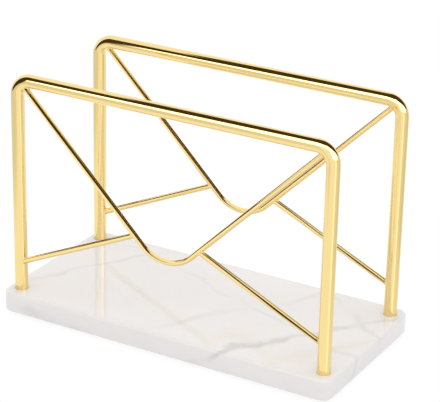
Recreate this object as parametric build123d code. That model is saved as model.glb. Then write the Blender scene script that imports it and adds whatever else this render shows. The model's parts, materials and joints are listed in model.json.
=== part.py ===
from build123d import *
import os
from math import radians, tan

# A letter sorter for the desk: a polished marble slab carries two bent rod frames, one
# at the front and one at the back. Thin wires across each frame draw an envelope.
# Letters stand on edge in the slot between the frames.
# Millimetres. Z is up and the sorter's front faces -Y. The origin is the middle of the
# sorter's footprint, on the surface that its foot pads stand on.

os.makedirs("parts", exist_ok=True)

# Marble slab. The margins run from the posts' sides to the slab's edges
slab_end_margin = 3.75
slab_side_margin = 5.75
slab_thickness = 12.0
slab_corner_radius = 6.0
slab_top_round = 1.5
slab_bottom_chamfer = 0.8

# Rod frames, measured on the rod's centre line
post_spacing = 194.0
frame_spacing = 82.0
bar_height = 126.5
rod_diameter = 7.5
rod_bend_radius = 9.0
rod_end_chamfer = 0.4

# Envelope wires, measured on their centre lines and from the top of the marble
wire_diameter = 3.2
wire_stand_off = 0.9
flap_angle = 45.0
flap_point_height = 31.2
flap_point_radius = 22.0
diagonal_angle = 24.5
diagonal_foot_height = 16.4

# Seats for the posts in the top of the marble
seat_depth = 3.0
seat_clearance = 0.1

# Screws that come up through the marble into the tapped rod ends
thread_diameter = 4.0
thread_clearance = 0.05
thread_engagement = 6.3
tapped_hole_runout = 2.7
screw_hole_clearance = 0.25
screw_head_diameter = 7.0
screw_head_height = 2.6
screw_head_round = 0.4
screw_tip_chamfer = 0.5
drive_span = 4.0
drive_slot_width = 1.0
drive_depth = 1.5

# Washers under the screw heads
flat_washer_diameter = 8.0
flat_washer_thickness = 0.5
washer_bore_clearance = 0.15
spring_washer_diameter = 6.8
spring_washer_thickness = 1.2
spring_washer_slit = 0.8
spring_washer_slit_angle = 20.0

# Counterbores in the underside of the marble
counterbore_clearance = 0.5
head_recess = 0.7

# Foot pads
pad_diameter = 12.0
pad_thickness = 1.5
pad_chamfer = 0.3
pad_gap = 4.0

# How far the tools that cut the marble start outside it
cut_margin = 1.0

# Worked out from the sizes above
slab_length = post_spacing + rod_diameter + 2 * slab_end_margin
slab_width = frame_spacing + rod_diameter + 2 * slab_side_margin
slab_underside = pad_thickness
slab_top = slab_underside + slab_thickness
rod_radius = rod_diameter / 2
wire_radius = wire_diameter / 2
half_post_spacing = post_spacing / 2
half_frame_spacing = frame_spacing / 2
post_end = slab_top - seat_depth
bar_level = slab_top + bar_height
flap_point_level = slab_top + flap_point_height
diagonal_foot_level = slab_top + diagonal_foot_height
tapped_hole_depth = thread_engagement + tapped_hole_runout
tapped_hole_radius = thread_diameter / 2 + thread_clearance
screw_hole_radius = thread_diameter / 2 + screw_hole_clearance
washer_bore_radius = thread_diameter / 2 + washer_bore_clearance
head_level = slab_underside + head_recess
spring_washer_level = head_level + screw_head_height
flat_washer_level = spring_washer_level + spring_washer_thickness
counterbore_floor = flat_washer_level + flat_washer_thickness
counterbore_radius = flat_washer_diameter / 2 + counterbore_clearance
screw_tip = post_end + thread_engagement
pad_radius = pad_diameter / 2
pad_x = half_post_spacing - counterbore_radius - pad_gap - pad_radius

SIDES = {"left": -1, "right": 1}
ENDS = {"front": -1, "rear": 1}


def post_places():
    """The four post axes."""
    return [
        Pos(side * half_post_spacing, end * half_frame_spacing, 0)
        for end in ENDS.values()
        for side in SIDES.values()
    ]


def upright(radius, bottom, top):
    """A cylinder about the Z axis, between two heights."""
    return Pos(0, 0, bottom) * Cylinder(radius, top - bottom, align=(Align.CENTER, Align.CENTER, Align.MIN))


def round_bar(path, radius):
    """A round bar swept along a path."""
    section = Plane(origin=path @ 0, z_dir=path % 0) * Circle(radius)
    return sweep(section, path=path)


def marble_slab():
    """The slab, with a seat, a screw hole and a counterbore at each post."""
    slab = Pos(0, 0, slab_underside) * Box(
        slab_length, slab_width, slab_thickness, align=(Align.CENTER, Align.CENTER, Align.MIN)
    )
    slab = fillet(slab.edges().filter_by(Axis.Z), slab_corner_radius)
    slab = fillet(slab.faces().sort_by(Axis.Z)[-1].edges(), slab_top_round)
    slab = chamfer(slab.faces().sort_by(Axis.Z)[0].edges(), slab_bottom_chamfer)
    hole = upright(rod_radius + seat_clearance, post_end, slab_top + cut_margin)
    hole += upright(screw_hole_radius, counterbore_floor, post_end)
    hole += upright(counterbore_radius, slab_underside - cut_margin, counterbore_floor)
    for place in post_places():
        slab -= place * hole
    return slab


def frame_line():
    """The frame's centre line: up one post, along the top bar and down the other."""
    return Plane.XZ * FilletPolyline(
        (-half_post_spacing, post_end),
        (-half_post_spacing, bar_level),
        (half_post_spacing, bar_level),
        (half_post_spacing, post_end),
        radius=rod_bend_radius,
    )


def flap_line():
    """The flap's centre line: a V with a rounded point, drawn out past the frame."""
    reach = post_spacing
    rise = reach * tan(radians(flap_angle))
    return Plane.XZ * FilletPolyline(
        (-reach, flap_point_level + rise),
        (0, flap_point_level),
        (reach, flap_point_level + rise),
        radius=flap_point_radius,
    )


def closed_prism(line):
    """The space inside a line in the frame's plane, thicker than the rod."""
    outline = Wire([*line.edges(), Line(line @ 1, line @ 0).edge()])
    return extrude(Face(outline), amount=rod_diameter, both=True)


def rod_frame():
    """A bent rod with a tapped hole in the end of each post, in the plane Y = 0."""
    rod = round_bar(frame_line(), rod_radius)
    rod = chamfer(rod.faces().group_by(Axis.Z)[0].edges(), rod_end_chamfer)
    for side in SIDES.values():
        rod -= Pos(side * half_post_spacing, 0, 0) * upright(
            tapped_hole_radius, post_end, post_end + tapped_hole_depth
        )
    return rod


def flap_wire(rod):
    """The flap's wire, its ends shaped to butt against the frame's top corners."""
    wire = Pos(0, -wire_stand_off, 0) * round_bar(flap_line(), wire_radius)
    return (wire & closed_prism(frame_line())) - rod


def diagonal_wire(side, rod, flap):
    """A lower wire, from one post up to the underside of the flap wire."""
    foot = (side * half_post_spacing, -wire_stand_off, diagonal_foot_level)
    rise = half_post_spacing * tan(radians(diagonal_angle))
    middle = (0, -wire_stand_off, diagonal_foot_level + rise)
    wire = round_bar(Line(foot, middle), wire_radius)
    below_flap = closed_prism(frame_line()) - closed_prism(flap_line())
    return (wire & below_flap) - rod - flap


def screw():
    """A cheese-head screw with a cross recess, head down, on the Z axis."""
    head = upright(screw_head_diameter / 2, head_level, spring_washer_level)
    head = fillet(head.edges().sort_by(Axis.Z)[0], screw_head_round)
    slot = Box(drive_span, drive_slot_width, drive_depth, align=(Align.CENTER, Align.CENTER, Align.MIN))
    cross = Pos(0, 0, head_level) * (slot + Rot(0, 0, 90) * slot)
    shank = upright(thread_diameter / 2, spring_washer_level, screw_tip)
    shank = chamfer(shank.edges().sort_by(Axis.Z)[-1], screw_tip_chamfer)
    return head + shank - cross


def flat_washer():
    """A plain washer against the counterbore's floor."""
    washer = upright(flat_washer_diameter / 2, flat_washer_level, counterbore_floor)
    return washer - upright(washer_bore_radius, flat_washer_level, counterbore_floor)


def spring_washer():
    """A split washer, tightened flat, between the screw's head and the plain washer."""
    washer = upright(spring_washer_diameter / 2, spring_washer_level, flat_washer_level)
    washer -= upright(washer_bore_radius, spring_washer_level, flat_washer_level)
    middle = (spring_washer_level + flat_washer_level) / 2
    slit = Box(spring_washer_diameter, spring_washer_slit, spring_washer_thickness * 2)
    return washer - Pos(spring_washer_diameter / 2, 0, middle) * Rot(spring_washer_slit_angle, 0, 0) * slit


def foot_pad():
    """A round stick-on pad under the slab, on the Z axis."""
    pad = upright(pad_radius, 0, pad_thickness)
    return chamfer(pad.edges().sort_by(Axis.Z)[0], pad_chamfer)


def at_each_post(piece):
    """The same piece at each of the four posts."""
    return Compound(children=[place * piece for place in post_places()])


def wire_frame(end, direction):
    """One frame with its wires. The rear one is turned round, so its wires face the back."""
    place = Pos(0, direction * half_frame_spacing, 0)
    if end == "rear":
        place *= Rot(0, 0, 180)
    frame = rod_frame()
    flap = flap_wire(frame)
    pieces = {f"{end}_frame": place * frame, f"{end}_flap_wire": place * flap}
    for side, sign in SIDES.items():
        # Direction is -1 at the front, where a piece's own side is also the sorter's side.
        pieces[f"{end}_{side}_diagonal"] = place * diagonal_wire(-direction * sign, frame, flap)
    return pieces


nodes = {"marble_base": marble_slab()}
for end, direction in ENDS.items():
    nodes |= wire_frame(end, direction)
    for side, sign in SIDES.items():
        place = Pos(sign * pad_x, direction * half_frame_spacing, 0)
        nodes[f"{end}_{side}_foot_pad"] = place * foot_pad()
nodes["base_screws"] = at_each_post(screw())
nodes["flat_washers"] = at_each_post(flat_washer())
nodes["spring_washers"] = at_each_post(spring_washer())

for name, shape in nodes.items():
    export_step(shape, f"parts/{name}.step")
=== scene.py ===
import json
from math import acos, atan2, cos, pi, radians, sin, tan
from typing import NamedTuple

import bmesh
import bpy
from bpy.props import FloatProperty, FloatVectorProperty, IntProperty, PointerProperty
from mathutils import Matrix, Vector

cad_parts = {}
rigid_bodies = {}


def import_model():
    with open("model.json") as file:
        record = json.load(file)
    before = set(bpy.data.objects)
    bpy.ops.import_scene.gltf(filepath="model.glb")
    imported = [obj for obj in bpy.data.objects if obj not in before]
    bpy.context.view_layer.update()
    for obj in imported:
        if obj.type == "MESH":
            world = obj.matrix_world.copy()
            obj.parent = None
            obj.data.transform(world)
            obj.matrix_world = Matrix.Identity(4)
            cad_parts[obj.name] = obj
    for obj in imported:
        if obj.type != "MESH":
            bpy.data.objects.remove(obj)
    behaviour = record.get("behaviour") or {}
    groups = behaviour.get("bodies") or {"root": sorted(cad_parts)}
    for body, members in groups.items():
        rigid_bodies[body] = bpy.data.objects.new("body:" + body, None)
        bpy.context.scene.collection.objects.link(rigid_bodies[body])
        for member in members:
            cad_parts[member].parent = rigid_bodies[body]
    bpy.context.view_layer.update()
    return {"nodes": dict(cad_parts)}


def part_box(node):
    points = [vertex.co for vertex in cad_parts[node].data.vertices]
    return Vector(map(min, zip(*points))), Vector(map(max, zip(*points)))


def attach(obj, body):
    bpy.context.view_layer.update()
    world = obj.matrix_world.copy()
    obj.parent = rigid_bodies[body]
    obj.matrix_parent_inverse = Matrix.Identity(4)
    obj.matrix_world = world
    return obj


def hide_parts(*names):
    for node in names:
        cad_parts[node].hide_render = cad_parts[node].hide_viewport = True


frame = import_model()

bl_info = {
    "name": "Letter sorter",
    "version": (1, 0, 0),
    "blender": (4, 5, 0),
    "location": "View3D > Sidebar > Letter sorter",
    "description": "Dresses the sorter's packed parts: marble slab, gold rods and envelope wires",
    "category": "Object",
}

MM = 0.001
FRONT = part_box("front_frame")
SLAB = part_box("marble_base")
# The rear frame is the front one turned round: 1 leaves it as it is, and -1 turns it
ENDS = {"front": 1, "rear": -1}
SIDES = {"left": -1, "right": 1}


def length(name, description, millimetres):
    """A size in metres that the sidebar shows as a length."""
    return FloatProperty(
        name=name, description=description, default=millimetres * MM, min=0, unit="LENGTH", precision=4
    )


def angle(name, description, turn):
    """An angle that the sidebar shows in degrees."""
    return FloatProperty(name=name, description=description, default=radians(turn), subtype="ANGLE")


def colour(name, description, value):
    """A linear colour."""
    return FloatVectorProperty(
        name=name, description=description, default=value, size=3, min=0, max=1, subtype="COLOR"
    )


def share(name, description, value):
    """A number from 0 to 1."""
    return FloatProperty(
        name=name, description=description, default=value, min=0, max=1, subtype="FACTOR"
    )


class SorterSizes(bpy.types.PropertyGroup):
    """Sizes of the rods and wires, on their centre lines"""

    post_spacing: length("Post spacing", "From one post of a frame to the other", 194)
    bar_height: length("Bar height", "From the marble's top to the middle of the top bar", 126.5)
    rod_diameter: length("Rod diameter", "Thickness of the bent rods", 7.5)
    bend_radius: length("Bend radius", "Bend at a frame's top corners", 9)
    end_chamfer: length("End chamfer", "Chamfer on the rods' lower ends", 0.4)
    hole_diameter: length("Tapped hole", "Width of the tapped holes in the rods' ends", 4.1)
    hole_depth: length("Tapped hole depth", "Depth of the tapped holes", 9)
    wire_diameter: length("Wire diameter", "Thickness of the envelope's wires", 3.2)
    stand_off: length("Stand-off", "How far the wires stand outside the rods' middle", 0.9)
    flap_angle: angle("Flap angle", "Slope of the flap's wire", 45)
    point_height: length("Flap point", "Height of the flap's virtual point above the marble", 31.2)
    point_radius: length("Flap point radius", "Bend at the flap's point", 22)
    diagonal_angle: angle("Diagonal angle", "Slope of the two lower wires", 24.5)
    foot_height: length("Diagonal foot", "Height of the lower wires above the marble at a post", 16.4)
    weld_radius: length("Weld radius", "Fillet where a wire is welded on", 0.6)
    facets: IntProperty(name="Facets", description="Faces round a rod", default=64, min=8)
    bend_steps: IntProperty(name="Bend steps", description="Faces along a bend", default=24, min=2)


class SorterFinish(bpy.types.PropertyGroup):
    """Colours and polish"""

    gold: colour("Gold", "Colour of the plated rods", (0.93, 0.73, 0.33))
    gold_roughness: share("Gold roughness", "0 is a mirror", 0.06)
    marble: colour("Marble", "Ground colour of the marble", (0.89, 0.865, 0.86))
    vein: colour("Vein", "Colour of the marble's veins", (0.45, 0.46, 0.46))
    marble_roughness: share("Marble roughness", "0 is a mirror", 0.08)
    steel: colour("Steel", "Colour of the zinc-plated screws and washers", (0.62, 0.63, 0.64))
    rubber: colour("Rubber", "Colour of the foot pads", (0.022, 0.022, 0.024))


class SorterStage(bpy.types.PropertyGroup):
    """Camera and light"""

    lens: FloatProperty(
        name="Lens", description="Focal length on a 36 mm sensor, in mm", default=156.33, min=1
    )
    camera_place: FloatVectorProperty(
        name="Camera", description="Where the camera stands", default=(0.485207, -0.846135, 0.488757),
        size=3, subtype="TRANSLATION", unit="LENGTH",
    )
    yaw: angle("Yaw", "How far the camera is turned round from the front", 29.3778)
    pitch: angle("Pitch", "How far the camera looks down", 22.9898)
    roll: angle("Roll", "How far the camera leans", 1.2863)
    panel_strength: FloatProperty(
        name="Panel strength", description="Brightness of the light panel that the rods mirror",
        default=2.6, min=0,
    )


# Node trees


def put(tree, kind, inputs=None, **settings):
    """A new node. Inputs are set to a value, or linked where the value is a socket."""
    node = tree.nodes.new(kind)
    for key, value in settings.items():
        setattr(node, key, value)
    for key, value in (inputs or {}).items():
        if isinstance(value, bpy.types.NodeSocket):
            tree.links.new(value, node.inputs[key])
        else:
            node.inputs[key].default_value = value
    return node


def calc(tree, operation, *values):
    """The result of a Math node."""
    return put(tree, "ShaderNodeMath", dict(enumerate(values)), operation=operation).outputs[0]


def product(tree, value, *factors):
    """A value multiplied by some others, in turn."""
    for factor in factors:
        value = calc(tree, "MULTIPLY", value, factor)
    return value


def slanted(tree, value, slope, start):
    """A straight line over a value."""
    return calc(tree, "MULTIPLY_ADD", value, slope, start)


def vector_calc(tree, operation, *values):
    """The result of a Vector Math node: a number for a dot product, or else a vector."""
    node = put(tree, "ShaderNodeVectorMath", dict(enumerate(values)), operation=operation)
    return node.outputs["Value" if operation == "DOT_PRODUCT" else "Vector"]


def rise(tree, value, edge, softness, low=0.0, high=1.0):
    """Goes smoothly from low to high as a value passes an edge."""
    limits = {"From Min": edge - softness, "From Max": edge + softness, "To Min": low, "To Max": high}
    node = put(tree, "ShaderNodeMapRange", {"Value": value, **limits}, interpolation_type="SMOOTHSTEP")
    return node.outputs["Result"]


def noise(tree, vector, scale, detail):
    """The outputs of a noise texture."""
    inputs = {"Vector": vector, "Scale": scale, "Detail": detail}
    return put(tree, "ShaderNodeTexNoise", inputs).outputs


def blend_colours(tree, factor, first, second, mode="MIX"):
    """Mixes two colours."""
    node = put(tree, "ShaderNodeMix", data_type="RGBA", blend_type=mode)
    for index, value in ((0, factor), (6, first), (7, second)):
        if isinstance(value, bpy.types.NodeSocket):
            tree.links.new(value, node.inputs[index])
        else:
            node.inputs[index].default_value = value
    return node.outputs[2]


def rgba(value):
    """A colour with its alpha."""
    return (*value, 1.0)


def sockets(tree, inputs, outputs):
    """Gives a node group its named inputs and outputs, and returns its two end nodes."""
    for direction, wanted in (("INPUT", inputs), ("OUTPUT", outputs)):
        for name, kind in wanted.items():
            tree.interface.new_socket(name, in_out=direction, socket_type="NodeSocket" + kind)
    return put(tree, "NodeGroupInput"), put(tree, "NodeGroupOutput")


# How much finer the small polishing marks are than the broad ones, and the glossiest they can be
FINER_MARKS = 9.0
GLOSSIEST = 0.01


def hand_polish_group():
    """Fine marks of polishing: uneven gloss and a faint waviness. Metal and stone share it."""
    if "Hand polish" in bpy.data.node_groups:
        return bpy.data.node_groups["Hand polish"]
    tree = bpy.data.node_groups.new("Hand polish", "ShaderNodeTree")
    start, end = sockets(
        tree,
        {"Vector": "Vector", "Scale": "Float", "Roughness": "Float", "Spread": "Float"},
        {"Roughness": "Float", "Height": "Float"},
    )
    vector, scale = start.outputs["Vector"], start.outputs["Scale"]
    broad = noise(tree, vector, scale=scale, detail=2.0)["Fac"]
    fine = noise(tree, vector, scale=calc(tree, "MULTIPLY", scale, FINER_MARKS), detail=1.0)["Fac"]
    # Each noise swings about a half, so the two together swing about 1.
    centred = calc(tree, "SUBTRACT", calc(tree, "ADD", broad, fine), 1.0)
    swing = calc(tree, "MULTIPLY", centred, start.outputs["Spread"])
    rough = calc(tree, "ADD", start.outputs["Roughness"], swing)
    tree.links.new(calc(tree, "MAXIMUM", rough, GLOSSIEST), end.inputs["Roughness"])
    tree.links.new(broad, end.inputs["Height"])
    return tree


def new_material(name):
    """An empty material: its tree, its shader and its Object coordinates."""
    material = bpy.data.materials.new(name)
    material.use_nodes = True
    tree = material.node_tree
    shader = tree.nodes["Principled BSDF"]
    place = put(tree, "ShaderNodeTexCoord").outputs["Object"]
    return material, tree, shader, place


def polish(tree, place, scale, roughness, spread):
    """The shared polishing marks, with this material's own values."""
    node = put(tree, "ShaderNodeGroup")
    node.node_tree = hand_polish_group()
    tree.links.new(place, node.inputs["Vector"])
    node.inputs["Scale"].default_value = scale
    node.inputs["Roughness"].default_value = roughness
    node.inputs["Spread"].default_value = spread
    return node


def bump(tree, shader, height, strength, distance):
    """Bumps the shader's surface."""
    node = put(tree, "ShaderNodeBump", {"Strength": strength, "Distance": distance, "Height": height})
    tree.links.new(node.outputs["Normal"], shader.inputs["Normal"])


def gold_material(finish):
    """Polished gold plating, a little darker and duller where a weld was dressed."""
    material, tree, shader, place = new_material("polished gold plating")
    marks = polish(tree, place, scale=45.0, roughness=finish.gold_roughness, spread=0.03)
    weld = put(tree, "ShaderNodeAttribute", attribute_name="weld").outputs["Fac"]
    tone = noise(tree, place, scale=14.0, detail=1.0)["Fac"]
    gold = Vector(finish.gold)
    warm = blend_colours(tree, tone, rgba(gold * 0.985), rgba(gold * 1.01))
    dressed = blend_colours(tree, calc(tree, "MULTIPLY", weld, 0.35), warm, rgba(gold * 0.9))
    tree.links.new(dressed, shader.inputs["Base Color"])
    rough = calc(tree, "ADD", marks.outputs["Roughness"], calc(tree, "MULTIPLY", weld, 0.05))
    tree.links.new(rough, shader.inputs["Roughness"])
    shader.inputs["Metallic"].default_value = 1.0
    bump(tree, shader, marks.outputs["Height"], strength=0.05, distance=0.2 * MM)
    return material


class Vein(NamedTuple):
    """A warped sheet of grey that cuts through the marble: which way it faces, and how it shows"""

    across: tuple
    offset: float
    half_width: float
    depth: float
    patches: float


# Offsets, from the origin along across, and half widths are in metres. Depth is the share of the
# vein's colour. Patches is the scale of the noise that lets the vein come and go.
VEINS = (
    Vein(across=(-0.46, 0.33, 0.82), offset=-0.0238, half_width=0.0013, depth=0.42, patches=30.0),
    Vein(across=(0.12, 0.30, 0.95), offset=-0.0215, half_width=0.0026, depth=0.26, patches=24.0),
    Vein(across=(0.70, -0.45, 0.55), offset=-0.050, half_width=0.0012, depth=0.22, patches=26.0),
    Vein(across=(0.55, 0.80, 0.20), offset=0.070, half_width=0.0016, depth=0.24, patches=20.0),
    Vein(across=(0.80, -0.55, 0.22), offset=0.022, half_width=0.0022, depth=0.16, patches=22.0),
    Vein(across=(0.30, 0.92, -0.25), offset=0.012, half_width=0.0010, depth=0.18, patches=28.0),
)
VEIN_WARP = 0.02


def marble_material(finish):
    """Polished white marble: a cloudy ground and soft grey veins."""
    material, tree, shader, place = new_material("polished white marble")
    marks = polish(tree, place, scale=60.0, roughness=finish.marble_roughness, spread=0.05)
    warp = noise(tree, place, scale=34.0, detail=6.0)["Color"]
    shift = vector_calc(tree, "SUBTRACT", warp, (0.5, 0.5, 0.5))
    moved = vector_calc(tree, "MULTIPLY_ADD", shift, (VEIN_WARP,) * 3, place)
    cloud = noise(tree, moved, scale=22.0, detail=3.0)["Fac"]
    marble = Vector(finish.marble)
    ground = blend_colours(tree, cloud, rgba(marble * 0.95), rgba(marble * 1.03))
    veins = 0.0
    for vein in VEINS:
        place_across = vector_calc(tree, "DOT_PRODUCT", moved, vein.across)
        away = calc(tree, "ABSOLUTE", calc(tree, "SUBTRACT", place_across, vein.offset))
        body = rise(tree, away, edge=vein.half_width, softness=vein.half_width, low=1.0, high=0.0)
        patchy = noise(tree, place, scale=vein.patches, detail=2.0)["Fac"]
        strength = rise(tree, patchy, edge=0.5, softness=0.16, low=0.05, high=1.0)
        body = calc(tree, "MULTIPLY", calc(tree, "MULTIPLY", body, strength), vein.depth)
        veins = calc(tree, "MAXIMUM", body, veins)
    veined = blend_colours(tree, veins, ground, rgba(finish.vein))
    tree.links.new(veined, shader.inputs["Base Color"])
    tree.links.new(marks.outputs["Roughness"], shader.inputs["Roughness"])
    shader.inputs["IOR"].default_value = 1.5
    bump(tree, shader, marks.outputs["Height"], strength=0.04, distance=0.2 * MM)
    return material


def steel_material(finish):
    """Zinc-plated steel."""
    material, tree, shader, place = new_material("zinc-plated steel")
    marks = polish(tree, place, scale=260.0, roughness=0.32, spread=0.12)
    tone = noise(tree, place, scale=180.0, detail=3.0)["Fac"]
    steel = Vector(finish.steel)
    mottled = blend_colours(tree, tone, rgba(steel * 0.85), rgba(steel))
    tree.links.new(mottled, shader.inputs["Base Color"])
    tree.links.new(marks.outputs["Roughness"], shader.inputs["Roughness"])
    shader.inputs["Metallic"].default_value = 1.0
    bump(tree, shader, marks.outputs["Height"], strength=0.1, distance=0.1 * MM)
    return material


def rubber_material(finish):
    """Matt rubber with a fine moulded grain."""
    material, tree, shader, place = new_material("matt rubber")
    marks = polish(tree, place, scale=700.0, roughness=0.72, spread=0.15)
    dust = rise(tree, noise(tree, place, scale=120.0, detail=4.0)["Fac"], edge=0.6, softness=0.12)
    rubber = Vector(finish.rubber)
    worn = blend_colours(tree, dust, rgba(rubber), rgba(rubber * 1.9))
    tree.links.new(worn, shader.inputs["Base Color"])
    tree.links.new(marks.outputs["Roughness"], shader.inputs["Roughness"])
    bump(tree, shader, marks.outputs["Height"], strength=0.4, distance=0.1 * MM)
    return material


def finish_material(name):
    """One of the four finishes, made once."""
    makers = {
        "polished_gold": ("polished gold plating", gold_material),
        "white_marble": ("polished white marble", marble_material),
        "plated_steel": ("zinc-plated steel", steel_material),
        "foot_rubber": ("matt rubber", rubber_material),
    }
    label, make = makers[name]
    return bpy.data.materials.get(label) or make(bpy.context.scene.sorter_finish)


def dress_node(node, slot):
    """Gives a CAD node its finish."""
    for holder in frame["nodes"][node].material_slots:
        holder.material = finish_material(slot)


def hand_over(piece, slot, *nodes):
    """A finished piece rides on the sorter's one body and stands for CAD nodes."""
    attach(piece, "root")
    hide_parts(*nodes)


def add_piece(name, mesh, material):
    """Puts a mesh in the scene with its material."""
    mesh.name = name
    if not mesh.materials:
        mesh.materials.append(material)
    piece = bpy.data.objects.new(name, mesh)
    bpy.context.scene.collection.objects.link(piece)
    return piece


def settle(piece, tree, values):
    """Runs a geometry tree on a piece and returns its result as a plain mesh."""
    modifier = piece.modifiers.new(tree.name, "NODES")
    modifier.node_group = tree
    for item in tree.interface.items_tree:
        if item.in_out == "INPUT" and item.name in values:
            modifier[item.identifier] = values[item.name]
    evaluated = piece.evaluated_get(bpy.context.evaluated_depsgraph_get())
    mesh = bpy.data.meshes.new_from_object(evaluated)
    piece.modifiers.remove(modifier)
    bpy.data.objects.remove(piece)
    return mesh


# Bent rods

# Edges that turn more than this stay sharp
SHARP_TURN = radians(32)


def rod_tree():
    """Geometry tree: a round rod along a centre line, with bent corners and tapped, chamfered ends."""
    tree = bpy.data.node_groups.new("Bent rod along its centre line", "GeometryNodeTree")
    tree.is_modifier = True
    start, end = sockets(
        tree,
        {
            "Centre line": "Geometry", "Rod radius": "Float", "Bend radius": "Float",
            "End chamfer": "Float", "Hole radius": "Float", "Hole depth": "Float",
            "Facets": "Int", "Bend steps": "Int", "Material": "Material",
        },
        {"Rod": "Geometry"},
    )
    size = start.outputs
    line = put(tree, "GeometryNodeMeshToCurve", {"Mesh": size["Centre line"]})
    bends = {"Curve": line.outputs[0], "Radius": size["Bend radius"], "Count": size["Bend steps"]}
    bent = put(tree, "GeometryNodeFilletCurve", bends, mode="POLY")
    outline = {"Resolution": size["Facets"], "Radius": size["Rod radius"]}
    ring = put(tree, "GeometryNodeCurvePrimitiveCircle", outline)
    tube = put(
        tree, "GeometryNodeCurveToMesh",
        {"Curve": bent.outputs[0], "Profile Curve": ring.outputs[0], "Fill Caps": True},
    )
    # The two caps are the only faces with more than four corners.
    corners = put(tree, "GeometryNodeInputMeshFaceNeighbors").outputs["Vertex Count"]
    cap = put(
        tree, "FunctionNodeCompare", {2: corners, 3: 4}, data_type="INT", operation="GREATER_THAN"
    ).outputs[0]
    narrow = calc(tree, "SUBTRACT", size["Rod radius"], size["End chamfer"])
    # How far each step pushes the caps out, and how much it narrows them.
    steps = (
        (size["End chamfer"], calc(tree, "DIVIDE", narrow, size["Rod radius"])),
        (0.0, calc(tree, "DIVIDE", size["Hole radius"], narrow)),
        (calc(tree, "MULTIPLY", size["Hole depth"], -1.0), 1.0),
    )
    shape, face = tube.outputs[0], cap
    for distance, factor in steps:
        push = {"Mesh": shape, "Selection": face, "Offset Scale": distance}
        grown = put(tree, "GeometryNodeExtrudeMesh", push, mode="FACES")
        face = grown.outputs["Top"]
        narrowing = {"Geometry": grown.outputs["Mesh"], "Selection": face, "Scale": factor}
        shape = put(tree, "GeometryNodeScaleElements", narrowing, domain="FACE").outputs[0]
    finish_tree(tree, shape, size["Material"], end)
    return tree


def finish_tree(tree, shape, material, end):
    """Closes a geometry tree: smooth faces, sharp edges, realized instances and a material."""
    faces = {"Geometry": shape, "Shade Smooth": True}
    smooth = put(tree, "GeometryNodeSetShadeSmooth", faces, domain="FACE").outputs[0]
    bend = put(tree, "GeometryNodeInputMeshEdgeAngle").outputs["Unsigned Angle"]
    sharp = put(
        tree, "FunctionNodeCompare", {0: bend, 1: SHARP_TURN},
        data_type="FLOAT", operation="GREATER_THAN",
    ).outputs[0]
    edges = {"Geometry": smooth, "Selection": sharp, "Shade Smooth": False}
    crisp = put(tree, "GeometryNodeSetShadeSmooth", edges, domain="EDGE")
    real = put(tree, "GeometryNodeRealizeInstances", {"Geometry": crisp.outputs[0]})
    done = put(tree, "GeometryNodeSetMaterial", {"Geometry": real.outputs[0], "Material": material})
    tree.links.new(done.outputs[0], end.inputs[0])


def frame_corners(sizes):
    """The sharp corners of a frame's centre line, seen from the front: foot, top, top, foot."""
    half = sizes.post_spacing / 2
    foot, top = FRONT[0].z, SLAB[1].z + sizes.bar_height
    return [(-half, foot), (-half, top), (half, top), (half, foot)]


class SORTER_OT_rod_frames(bpy.types.Operator):
    """Bends the front and rear rod frames"""

    bl_idname = "sorter.rod_frames"
    bl_label = "Rod frames"

    def execute(self, context):
        sizes = context.scene.sorter_sizes
        depth = (FRONT[0].y + FRONT[1].y) / 2
        # The feet start higher by the chamfer, which is then pushed out below them.
        lift = (sizes.end_chamfer, 0, 0, sizes.end_chamfer)
        points = [(x, 0, z + up) for (x, z), up in zip(frame_corners(sizes), lift)]
        tree = rod_tree()
        values = {
            "Rod radius": sizes.rod_diameter / 2, "Bend radius": sizes.bend_radius,
            "End chamfer": sizes.end_chamfer, "Hole radius": sizes.hole_diameter / 2,
            "Hole depth": sizes.hole_depth, "Facets": sizes.facets, "Bend steps": sizes.bend_steps,
            "Material": finish_material("polished_gold"),
        }
        for end, way in ENDS.items():
            line = bpy.data.meshes.new("centre line")
            line.from_pydata(points, [(0, 1), (1, 2), (2, 3)], [])
            mesh = settle(add_piece("centre line", line, None), tree, values)
            mesh.transform(Matrix.Translation((0, depth * way, 0)))
            piece = add_piece(f"{end}_bent_rod", mesh, finish_material("polished_gold"))
            hand_over(piece, "polished_gold", f"{end}_frame")
        return {"FINISHED"}


# Envelope wires


def turned(vector, turn):
    """A plane vector turned anticlockwise."""
    return Vector(
        (vector.x * cos(turn) - vector.y * sin(turn), vector.x * sin(turn) + vector.y * cos(turn))
    )


class Straight:
    """A straight stretch: where it starts, which way it runs and how long it is."""

    def __init__(self, start, way, length):
        self.start, self.way, self.length = start, way, length

    def at(self, distance):
        """The point and the direction at a distance along the stretch."""
        return self.start + self.way * distance, self.way

    def nearest(self, point):
        """The stretch's point that is nearest to a point of its plane."""
        along = max(0.0, min(self.length, (point - self.start).dot(self.way)))
        return self.start + self.way * along


class Bend:
    """A round stretch: its centre, the spoke to its start, and 1 where it turns anticlockwise or -1."""

    def __init__(self, centre, spoke, turn, hand, radius):
        self.centre, self.spoke, self.hand, self.radius = centre, spoke, hand, radius
        self.length = radius * turn

    def at(self, distance):
        """The point and the direction at a distance along the stretch."""
        spoke = turned(self.spoke, self.hand * distance / self.radius)
        return self.centre + spoke, Vector((-spoke.y, spoke.x)).normalized() * self.hand

    def nearest(self, point):
        """The stretch's point that is nearest to a point of its plane."""
        spoke = point - self.centre
        turn = self.hand * (atan2(spoke.y, spoke.x) - atan2(self.spoke.y, self.spoke.x))
        turn = (turn + pi) % (2 * pi) - pi
        turn = max(0.0, min(self.length / self.radius, turn))
        return self.centre + turned(self.spoke, self.hand * turn)


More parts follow.
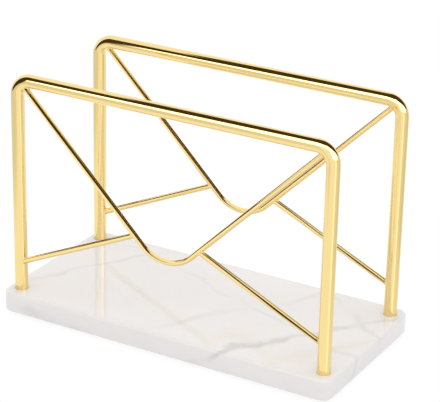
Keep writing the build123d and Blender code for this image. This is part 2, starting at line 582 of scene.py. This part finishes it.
class Line2D:
    """A run of straight and round stretches in a frame's plane, measured along its length."""

    def __init__(self, corners, radius):
        """Corners are (x, z) points; every inner one is bent to the radius."""
        self.parts = []
        here = Vector(corners[0])
        for before, corner, after in zip(corners, corners[1:], corners[2:]):
            corner = Vector(corner)
            incoming = (corner - Vector(before)).normalized()
            outgoing = (Vector(after) - corner).normalized()
            turn = acos(max(-1.0, min(1.0, incoming.dot(outgoing))))
            cut = radius * tan(turn / 2)
            start = corner - incoming * cut
            self.parts.append(Straight(here, incoming, (start - here).length))
            hand = 1 if incoming.x * outgoing.y - incoming.y * outgoing.x > 0 else -1
            centre = start + Vector((-incoming.y, incoming.x)) * radius * hand
            self.parts.append(Bend(centre, start - centre, turn, hand, radius))
            here = corner + outgoing * cut
        last = Vector(corners[-1])
        self.parts.append(Straight(here, (last - here).normalized(), (last - here).length))
        self.length = sum(part.length for part in self.parts)

    def at(self, distance):
        """The point and the direction at a distance along the line."""
        for part in self.parts:
            if distance <= part.length or part is self.parts[-1]:
                return part.at(distance)
            distance -= part.length

    def nearest(self, point):
        """The line's point that is nearest to a point of its plane."""
        found = [part.nearest(point) for part in self.parts]
        return min(found, key=lambda spot: (spot - point).length)

    def marks(self, steps):
        """The distances along the line at which its bends are cut into steps."""
        marks, passed = [], 0.0
        for part in self.parts:
            if isinstance(part, Bend):
                marks += [passed + part.length * step / steps for step in range(steps + 1)]
            passed += part.length
        return marks


class Bar:
    """What a wire is welded to: a round bar along a line, at a depth, with a radius."""

    def __init__(self, line, depth, radius):
        self.line, self.depth, self.radius = line, depth, radius

    def axis(self, point):
        """The point of the bar's axis that is nearest to a point in space."""
        flat = self.line.nearest(Vector((point.x, point.z)))
        return Vector((flat.x, self.depth, flat.y))

    def gap(self, point):
        """How far a point is from the bar's axis."""
        return (point - self.axis(point)).length

    def drawn_in(self, point, inset):
        """The point moved straight onto the bar, a little under its surface."""
        axis = self.axis(point)
        return axis + (point - axis).normalized() * (self.radius - inset)


# Rings over a weld's fillet, rings over a wire's hidden end, and how deep that end sits in its bar
WELD_ARC = 7
CAP_RINGS = 3
WELD_INSET = 0.00002
# A weld's ball is found by halving a stretch, and counts as touching both at once below this angle
HALVINGS = 40
FLAT_SPREAD = 1e-4
# How far from its start a wire is searched for the bar, and in how many steps
WELD_REACH = 16 * MM
SEARCH_STEPS = 400


def wire_spot(line, depth, distance, turn, radius):
    """A point round a wire at a distance along its line."""
    middle, way = line.at(distance)
    x = middle.x - way.y * sin(turn) * radius
    z = middle.y + way.x * sin(turn) * radius
    return Vector((x, depth - cos(turn) * radius, z))


def nearest_along(line, bar, depth):
    """How far along the line's first stretch its middle comes nearest to the bar's axis."""
    tries = [WELD_REACH * step / SEARCH_STEPS for step in range(SEARCH_STEPS + 1)]
    return min(tries, key=lambda along: bar.gap(wire_spot(line, depth, along, 0, 0)))


def fillet_arc(ball, on_bar, on_wire):
    """Points on a ball, from where it touches the bar to just before where it touches the wire."""
    first, last = on_wire - ball, on_bar - ball
    spread = first.angle(last, 0.0)
    arc = []
    for step in range(WELD_ARC):
        along = step / WELD_ARC
        if spread < FLAT_SPREAD:
            arc.append(on_bar.lerp(on_wire, along))
            continue
        weight = sin(along * spread) / sin(spread)
        rest = sin((1 - along) * spread) / sin(spread)
        arc.append(ball + last * rest + first * weight)
    return arc


def weld_rings(line, depth, sizes, bar, near, far):
    """Rings from the middle of a wire's end over its weld fillet to where the plain wire begins.

    A ball of the weld's radius rolls between the wire and the bar. near is a distance along the
    line inside the bar and far is one well outside it.
    """
    radius, weld, facets = sizes.wire_diameter / 2, sizes.weld_radius, sizes.facets
    starts, arcs, feet = [], [], []
    for facet in range(facets):
        turn = 2 * pi * facet / facets
        low, high = near, far
        for _ in range(HALVINGS):
            middle = (low + high) / 2
            ball = wire_spot(line, depth, middle, turn, radius + weld)
            if bar.gap(ball) < bar.radius + weld:
                low = middle
            else:
                high = middle
        ball = wire_spot(line, depth, high, turn, radius + weld)
        on_wire = wire_spot(line, depth, high, turn, radius)
        axis = bar.axis(ball)
        on_bar = axis + (ball - axis).normalized() * bar.radius
        arcs.append(fillet_arc(ball, on_bar, on_wire))
        starts.append(on_wire)
        feet.append(high)
    middle = sum((arc[0] for arc in arcs), Vector()) / facets
    hub = bar.drawn_in(middle, WELD_INSET * 2)
    rings = [
        [bar.drawn_in(hub.lerp(arc[0], ring / CAP_RINGS), WELD_INSET * 2) for arc in arcs]
        for ring in range(1, CAP_RINGS)
    ]
    rings.append([bar.drawn_in(arc[0], WELD_INSET) for arc in arcs])
    rings += [[arc[step] for arc in arcs] for step in range(1, WELD_ARC)]
    rings.append(starts)
    return hub, rings, max(feet, key=lambda foot: abs(foot - near))


def loft(name, first_hub, rings, last_hub, dull):
    """A closed skin over rings, with a fan at each end. dull marks each ring's share of weld."""
    facets = len(rings[0])
    points = [first_hub] + [point for ring in rings for point in ring] + [last_hub]
    last = len(points) - 1
    faces = []
    for facet in range(facets):
        following = (facet + 1) % facets
        faces.append((0, 1 + facet, 1 + following))
        for ring in range(len(rings) - 1):
            low, high = 1 + ring * facets, 1 + (ring + 1) * facets
            faces.append((low + facet, high + facet, high + following, low + following))
        top = 1 + (len(rings) - 1) * facets
        faces.append((last, top + following, top + facet))
    mesh = bpy.data.meshes.new(name)
    mesh.from_pydata(points, [], faces)
    mesh.shade_smooth()
    values = [dull[0]] + [value for value in dull for _ in range(facets)] + [dull[-1]]
    mesh.attributes.new("weld", "FLOAT", "POINT").data.foreach_set("value", values)
    return mesh


def welded_wire(name, line, depth, sizes, bars, spans):
    """A wire along a line, from the bar at its start to the bar at its end.

    Each end has a span: a distance along the line inside its bar, and one well outside it.
    """
    facets = sizes.facets
    hub, rings, start = weld_rings(line, depth, sizes, bars[0], *spans[0])
    end_hub, end_rings, stop = weld_rings(line, depth, sizes, bars[1], *spans[1])
    seam, dressed = sizes.weld_radius * 0.3, sizes.weld_radius * 3
    start, stop = start + seam, stop - seam
    marks = [start, start + dressed, *line.marks(sizes.bend_steps), stop - dressed, stop]
    marks = sorted(mark for mark in marks if start <= mark <= stop)
    radius = sizes.wire_diameter / 2
    plain = [
        [wire_spot(line, depth, mark, 2 * pi * facet / facets, radius) for facet in range(facets)]
        for mark in marks
    ]
    dull = [1.0] * len(rings)
    dull += [1.0 if mark in (start, stop) else 0.0 for mark in marks]
    dull += [1.0] * len(end_rings)
    return loft(name, hub, rings + plain + end_rings[::-1], end_hub, dull)


# The wire whose place another one takes when its frame is turned round
TURNED_ROUND = {"left_diagonal": "right_diagonal", "right_diagonal": "left_diagonal"}


class SORTER_OT_envelope_wires(bpy.types.Operator):
    """Welds the flap wire and the two lower wires into each frame"""

    bl_idname = "sorter.envelope_wires"
    bl_label = "Envelope wires"

    def execute(self, context):
        sizes = context.scene.sorter_sizes
        half, top = sizes.post_spacing / 2, SLAB[1].z
        depth = (FRONT[0].y + FRONT[1].y) / 2
        wire_depth = depth - sizes.stand_off
        rod = Bar(Line2D(frame_corners(sizes), sizes.bend_radius), depth, sizes.rod_diameter / 2)
        point = top + sizes.point_height
        climb = half * tan(sizes.flap_angle)
        corners = [(-half, point + climb), (0, point), (half, point + climb)]
        flap = Line2D(corners, sizes.point_radius)
        flap_bar = Bar(flap, wire_depth, sizes.wire_diameter / 2)
        crossing = nearest_along(flap, rod, wire_depth)
        outside = WELD_REACH * 1.6
        spans = (crossing, outside), (flap.length - crossing, flap.length - outside)
        made = {"flap_wire": welded_wire("flap", flap, wire_depth, sizes, (rod, rod), spans)}
        foot = top + sizes.foot_height
        slope = tan(sizes.diagonal_angle)
        meet = (foot + half * slope - point) / (tan(sizes.flap_angle) + slope)
        for side, sign in SIDES.items():
            ends = [(sign * half, foot), (sign * meet, foot + (half - meet) * slope)]
            line = Line2D(ends, 0)
            spans = (0.0, WELD_REACH), (line.length, line.length - WELD_REACH)
            wire = welded_wire(side, line, wire_depth, sizes, (rod, flap_bar), spans)
            made[f"{side}_diagonal"] = wire
        for end, way in ENDS.items():
            for part, mesh in made.items():
                node = f"{end}_{part if way > 0 else TURNED_ROUND.get(part, part)}"
                copy = mesh.copy()
                copy.transform(Matrix.Rotation(0 if way > 0 else pi, 4, "Z"))
                piece = add_piece(f"{node}_welded", copy, finish_material("polished_gold"))
                hand_over(piece, "polished_gold", node)
        return {"FINISHED"}


# The rest


class SORTER_OT_marble_base(bpy.types.Operator):
    """Gives the slab its polished white marble"""

    bl_idname = "sorter.marble_base"
    bl_label = "Marble base"

    def execute(self, context):
        dress_node("marble_base", "white_marble")
        return {"FINISHED"}


class SORTER_OT_fixings(bpy.types.Operator):
    """Gives the screws and washers their zinc plating"""

    bl_idname = "sorter.fixings"
    bl_label = "Screws and washers"

    def execute(self, context):
        for node in ("base_screws", "flat_washers", "spring_washers"):
            dress_node(node, "plated_steel")
        return {"FINISHED"}


class SORTER_OT_foot_pads(bpy.types.Operator):
    """Gives the foot pads their rubber"""

    bl_idname = "sorter.foot_pads"
    bl_label = "Foot pads"

    def execute(self, context):
        for end in ENDS:
            for side in SIDES:
                dress_node(f"{end}_{side}_foot_pad", "foot_rubber")
        return {"FINISHED"}


# Stage

# Round tents of light stand for the studio. Only polished surfaces mirror them.
TENT_MIDDLE = (0.0, 0.0, 0.1)
TENT_REACH = 0.4
TENT_DARK = (0.062, 0.038, 0.012, 1.0)
# The direction across the dark strip that the lower wires mirror
STRIP_ACROSS = (0.954, 0.117, -0.276)
# Brightness of the plain white cloth, as the rods mirror it and as the wires do
CLOTH_TONE = 1.03
LOW_CLOTH_TONE = 1.08
# How soft a dark shape's edge is, in degrees
CRISP = 1.5

# The floor is matt. Where the camera sees it, it glows instead, so that it looks white
FLOOR_REACH = 12.0
FLOOR_TONE = 0.82
FLOOR_SEEN_TONE = 0.13
FLOOR_GLOW = 0.89


class Sight(NamedTuple):
    """A tent's point as seen from its middle: direction, and degrees round to the right and up"""

    direction: bpy.types.NodeSocket
    azimuth: bpy.types.NodeSocket
    height: bpy.types.NodeSocket


def sight(tree, place):
    """Where a point of a tent lies. Azimuth 0 is the front, and 90 is the right side."""
    spoke = vector_calc(tree, "SUBTRACT", place, TENT_MIDDLE)
    direction = vector_calc(tree, "NORMALIZE", spoke)
    x, y, z = put(tree, "ShaderNodeSeparateXYZ", {0: direction}).outputs
    azimuth = calc(tree, "DEGREES", calc(tree, "ARCTAN2", x, product(tree, y, -1.0)))
    return Sight(direction, azimuth, calc(tree, "DEGREES", calc(tree, "ARCSINE", z)))


def between(tree, value, first, last, softness):
    """1 between two edges and 0 outside them."""
    return product(
        tree, rise(tree, value, first, softness), rise(tree, value, last, softness, low=1.0, high=0.0)
    )


def past(tree, value, edge, softness):
    """Goes from 0 to 1 as a value passes an edge that is a socket."""
    return rise(tree, calc(tree, "SUBTRACT", value, edge), 0.0, softness)


def lowest(tree, azimuth, level, *slopes):
    """The lowest of a level and some lines over the azimuth, each a slope and a height in front."""
    for slope, start in slopes:
        level = calc(tree, "MINIMUM", slanted(tree, azimuth, slope, start), level)
    return level


def slot(tree, azimuth, height, middle, half, foot):
    """A dark slot in a tent, from its foot to the roof."""
    away = calc(tree, "ABSOLUTE", calc(tree, "SUBTRACT", azimuth, middle))
    inside = rise(tree, calc(tree, "SUBTRACT", half, away), edge=0.0, softness=CRISP)
    return product(tree, inside, rise(tree, height, edge=foot, softness=CRISP))


def mixed(tree, factor, first, second):
    """A number between two others."""
    inputs = {"Value": factor, "To Min": first, "To Max": second}
    return put(tree, "ShaderNodeMapRange", inputs).outputs["Result"]


def cloth(tree, azimuth, height):
    """The white cloth's brightness: darker low down on both sides, with a lit strip between."""
    left = rise(tree, azimuth, edge=-6.0, softness=16.0, low=0.22, high=0.0)
    left = product(tree, left, rise(tree, height, edge=-21.0, softness=5.0))
    right = product(tree, between(tree, azimuth, 78.0, 140.0, softness=4.0), 0.2)
    far_right = product(tree, between(tree, azimuth, 108.0, 140.0, softness=6.0), 0.1)
    lower = rise(tree, height, edge=-25.0, softness=5.0, low=0.5, high=1.0)
    right = product(tree, calc(tree, "ADD", right, far_right), lower)
    strip = rise(tree, height, edge=8.0, softness=5.0, low=0.22, high=0.0)
    strip = product(tree, between(tree, azimuth, 57.0, 75.0, softness=3.0), strip)
    behind = rise(tree, azimuth, edge=-74.0, softness=6.0, low=0.22, high=0.0)
    behind = product(tree, behind, rise(tree, height, edge=0.0, softness=6.0))
    lit = calc(tree, "ADD", calc(tree, "ADD", behind, strip), CLOTH_TONE)
    return calc(tree, "SUBTRACT", lit, calc(tree, "MAXIMUM", left, right))


def low_cloth(tree, height):
    """The cloth as the thin wires mirror it: darker where it lies on the table."""
    shade = product(tree, between(tree, height, -80.0, -44.0, softness=10.0), 0.25)
    return calc(tree, "SUBTRACT", LOW_CLOTH_TONE, shade)


def rod_light(tree, seen, panel_strength):
    """What the rods and the marble mirror: a dark roof, a dark slot and a bright panel in front."""
    azimuth, height = seen.azimuth, seen.height
    turn = calc(tree, "FLOORED_MODULO", azimuth, 360.0)
    near_edge = slanted(tree, turn, slope=-0.75, start=109.0)
    far_edge = slanted(tree, turn, slope=1.1, start=-140.0)
    roof_edge = calc(tree, "MINIMUM", calc(tree, "MAXIMUM", near_edge, far_edge), 59.0)
    roof = past(tree, height, roof_edge, softness=CRISP)
    up = calc(tree, "MAXIMUM", calc(tree, "SUBTRACT", height, 25.0), 0.0)
    middle = slanted(tree, up, slope=0.4, start=-61.0)
    half = slanted(tree, up, slope=0.3, start=17.0)
    dark = calc(tree, "MAXIMUM", roof, slot(tree, azimuth, height, middle, half, foot=-5.0))
    left_part = past(tree, height, slanted(tree, azimuth, slope=0.27, start=26.0), softness=3.0)
    left_part = product(tree, left_part, between(tree, azimuth, -50.0, 46.0, softness=4.0))
    right_part = rise(tree, height, edge=11.0, softness=3.0)
    right_part = product(tree, right_part, between(tree, azimuth, 46.0, 104.0, softness=4.0))
    panel = calc(tree, "MAXIMUM", left_part, right_part)
    return mixed(tree, panel, cloth(tree, azimuth, height), panel_strength), dark


def flap_light(tree, seen):
    """What the flap wires mirror: a dark arch over the right side and a leaning slot on the left."""
    azimuth, height = seen.azimuth, seen.height
    lower_edge = lowest(tree, azimuth, 35.0, (0.48, 8.0), (-0.8, 128.0))
    upper_edge = lowest(tree, azimuth, 62.0, (0.95, 31.0), (-0.6, 133.0))
    side = between(tree, azimuth, -30.0, 174.0, softness=3.0)
    above = product(tree, past(tree, height, upper_edge, softness=2.0), side)
    arch = product(tree, past(tree, height, lower_edge, softness=2.0), side)
    arch = calc(tree, "SUBTRACT", arch, above)
    middle = calc(tree, "MAXIMUM", slanted(tree, height, slope=-3.7, start=-60.0), -102.0)
    low_slot = slot(tree, azimuth, height, middle, half=26.0, foot=-2.0)
    below = rise(tree, height, edge=34.0, softness=2.0, low=1.0, high=0.0)
    low_slot = product(tree, low_slot, below)
    bright = mixed(tree, above, low_cloth(tree, height), 0.95)
    return bright, calc(tree, "MAXIMUM", arch, low_slot)


def diagonal_light(tree, seen):
    """What the lower wires mirror: a dark strip over the top, with dull cloth behind, and a slot."""
    azimuth, height = seen.azimuth, seen.height
    across = vector_calc(tree, "DOT_PRODUCT", seen.direction, STRIP_ACROSS)
    edge = rise(tree, height, edge=38.0, softness=25.0, low=0.095, high=0.025)
    right = past(tree, across, edge, softness=0.015)
    left = rise(tree, across, edge=-0.118, softness=0.015)
    above = rise(tree, height, edge=-28.0, softness=4.0)
    strip = product(tree, left, calc(tree, "SUBTRACT", 1.0, right), above)
    middle = calc(tree, "MINIMUM", slanted(tree, height, slope=2.3, start=-110.0), -70.0)
    low_slot = slot(tree, azimuth, height, middle, half=29.0, foot=-8.0)
    behind = rise(tree, azimuth, edge=85.0, softness=8.0)
    behind = product(tree, behind, between(tree, height, 24.0, 63.0, softness=4.0), right)
    bright = mixed(tree, behind, low_cloth(tree, height), 0.42)
    return bright, calc(tree, "MAXIMUM", strip, low_slot)


class SORTER_OT_stage(bpy.types.Operator):
    """Sets up the camera, the pale floor and the soft light"""

    bl_idname = "sorter.stage"
    bl_label = "Camera, floor and light"

    def execute(self, context):
        stage = context.scene.sorter_stage
        self.camera(context, stage)
        self.floor()
        self.world(context.scene)
        self.tents(stage)
        context.scene.view_settings.view_transform = "Standard"
        return {"FINISHED"}

    def camera(self, context, stage):
        data = bpy.data.cameras.new("camera")
        data.lens = stage.lens
        data.sensor_width = 36.0
        data.clip_start, data.clip_end = 0.01, 50.0
        camera = bpy.data.objects.new("camera", data)
        back = Vector(
            (sin(stage.yaw) * cos(stage.pitch), -cos(stage.yaw) * cos(stage.pitch), sin(stage.pitch))
        )
        right = Vector((cos(stage.yaw), sin(stage.yaw), 0))
        up = back.cross(right)
        leaning_right = right * cos(stage.roll) + up * sin(stage.roll)
        leaning_up = up * cos(stage.roll) - right * sin(stage.roll)
        turn = Matrix((leaning_right, leaning_up, back)).transposed().to_4x4()
        camera.matrix_world = Matrix.Translation(stage.camera_place) @ turn
        context.scene.collection.objects.link(camera)
        context.scene.camera = camera

    def floor(self):
        material, tree, shader, _ = new_material("pale floor")
        tree.nodes.remove(shader)
        seen = put(tree, "ShaderNodeLightPath").outputs["Is Camera Ray"]
        tones = rgba((FLOOR_TONE,) * 3), rgba((FLOOR_SEEN_TONE,) * 3)
        matt = put(tree, "ShaderNodeBsdfDiffuse", {"Color": blend_colours(tree, seen, *tones)})
        glow = put(tree, "ShaderNodeEmission", {"Strength": product(tree, seen, FLOOR_GLOW)})
        both = put(tree, "ShaderNodeAddShader", {0: matt.outputs[0], 1: glow.outputs[0]})
        tree.links.new(both.outputs[0], tree.nodes["Material Output"].inputs["Surface"])
        mesh = bpy.data.meshes.new("floor")
        corners = [(-1, -1), (1, -1), (1, 1), (-1, 1)]
        points = [(x * FLOOR_REACH, y * FLOOR_REACH, 0) for x, y in corners]
        mesh.from_pydata(points, [], [(0, 1, 2, 3)])
        floor = add_piece("floor", mesh, material)
        floor.visible_glossy = False

    def world(self, scene):
        world = bpy.data.worlds.new("studio")
        world.use_nodes = True
        background = world.node_tree.nodes["Background"]
        background.inputs["Color"].default_value = (1.0, 1.0, 1.0, 1.0)
        background.inputs["Strength"].default_value = 1.0
        scene.world = world

    def tent(self, name, reach, light, wires=""):
        """A round tent of light, which only the wires with this word in their names mirror.

        Without a word it is the outermost tent, which everything but the wires mirrors.
        """
        material, tree, shader, place = new_material(name)
        tree.nodes.remove(shader)
        bright, dark = light(tree, sight(tree, place))
        grey = put(tree, "ShaderNodeCombineXYZ", {0: bright, 1: bright, 2: bright}).outputs[0]
        shade = blend_colours(tree, dark, grey, TENT_DARK)
        glow = put(tree, "ShaderNodeEmission", {"Color": shade}).outputs[0]
        if wires:
            clear = put(tree, "ShaderNodeBsdfTransparent").outputs[0]
            glow = put(tree, "ShaderNodeAddShader", {0: clear, 1: glow}).outputs[0]
        tree.links.new(glow, tree.nodes["Material Output"].inputs["Surface"])
        ball = bmesh.new()
        middle = Matrix.Translation(TENT_MIDDLE)
        bmesh.ops.create_icosphere(ball, subdivisions=4, radius=reach, matrix=middle)
        mesh = bpy.data.meshes.new(name)
        ball.to_mesh(mesh)
        ball.free()
        tent = add_piece(name, mesh, material)
        for kind in ("camera", "diffuse", "transmission", "volume_scatter", "shadow"):
            setattr(tent, f"visible_{kind}", False)
        linked = bpy.data.collections.new(f"{name} on wires")
        for piece_name, piece in list(bpy.data.objects.items()):
            if piece_name.endswith("_welded") and wires in piece_name:
                linked.objects.link(piece)
        for item in linked.collection_objects:
            item.light_linking.link_state = "INCLUDE" if wires else "EXCLUDE"
        tent.light_linking.receiver_collection = linked

    def tents(self, stage):
        """One tent for the rods and the marble, and inside it one for each kind of wire."""

        def rods(tree, seen):
            return rod_light(tree, seen, stage.panel_strength)

        self.tent("rod_light_tent", TENT_REACH, rods)
        # Each inner tent is a little smaller than the one round it, so that they don't meet.
        self.tent("flap_light_tent", TENT_REACH * 0.98, flap_light, "flap")
        self.tent("diagonal_light_tent", TENT_REACH * 0.96, diagonal_light, "diagonal")


class SORTER_PT_sidebar(bpy.types.Panel):
    """Lists the sorter's pieces, sizes and finishes"""

    bl_label = "Letter sorter"
    bl_idname = "SORTER_PT_sidebar"
    bl_space_type = "VIEW_3D"
    bl_region_type = "UI"
    bl_category = "Letter sorter"

    def draw(self, context):
        for operator in STEPS:
            self.layout.operator(operator.bl_idname)
        scene = context.scene
        for group in (scene.sorter_sizes, scene.sorter_finish, scene.sorter_stage):
            box = self.layout.box()
            for name in group.bl_rna.properties.keys():
                if name not in ("rna_type", "name"):
                    box.prop(group, name)


STEPS = (
    SORTER_OT_marble_base,
    SORTER_OT_rod_frames,
    SORTER_OT_envelope_wires,
    SORTER_OT_fixings,
    SORTER_OT_foot_pads,
    SORTER_OT_stage,
)
GROUPS = {"sorter_sizes": SorterSizes, "sorter_finish": SorterFinish, "sorter_stage": SorterStage}


def register():
    """Adds the sorter's classes and settings."""
    for kind in (*GROUPS.values(), *STEPS, SORTER_PT_sidebar):
        bpy.utils.register_class(kind)
    for name, kind in GROUPS.items():
        setattr(bpy.types.Scene, name, PointerProperty(type=kind))


def unregister():
    """Takes them out again."""
    for name in GROUPS:
        delattr(bpy.types.Scene, name)
    for kind in (SORTER_PT_sidebar, *reversed(STEPS), *GROUPS.values()):
        bpy.utils.unregister_class(kind)


def main():
    """Builds the dressed sorter."""
    register()
    for step in STEPS:
        family, name = step.bl_idname.split(".")
        getattr(getattr(bpy.ops, family), name)()


if __name__ == "__main__":
    main()
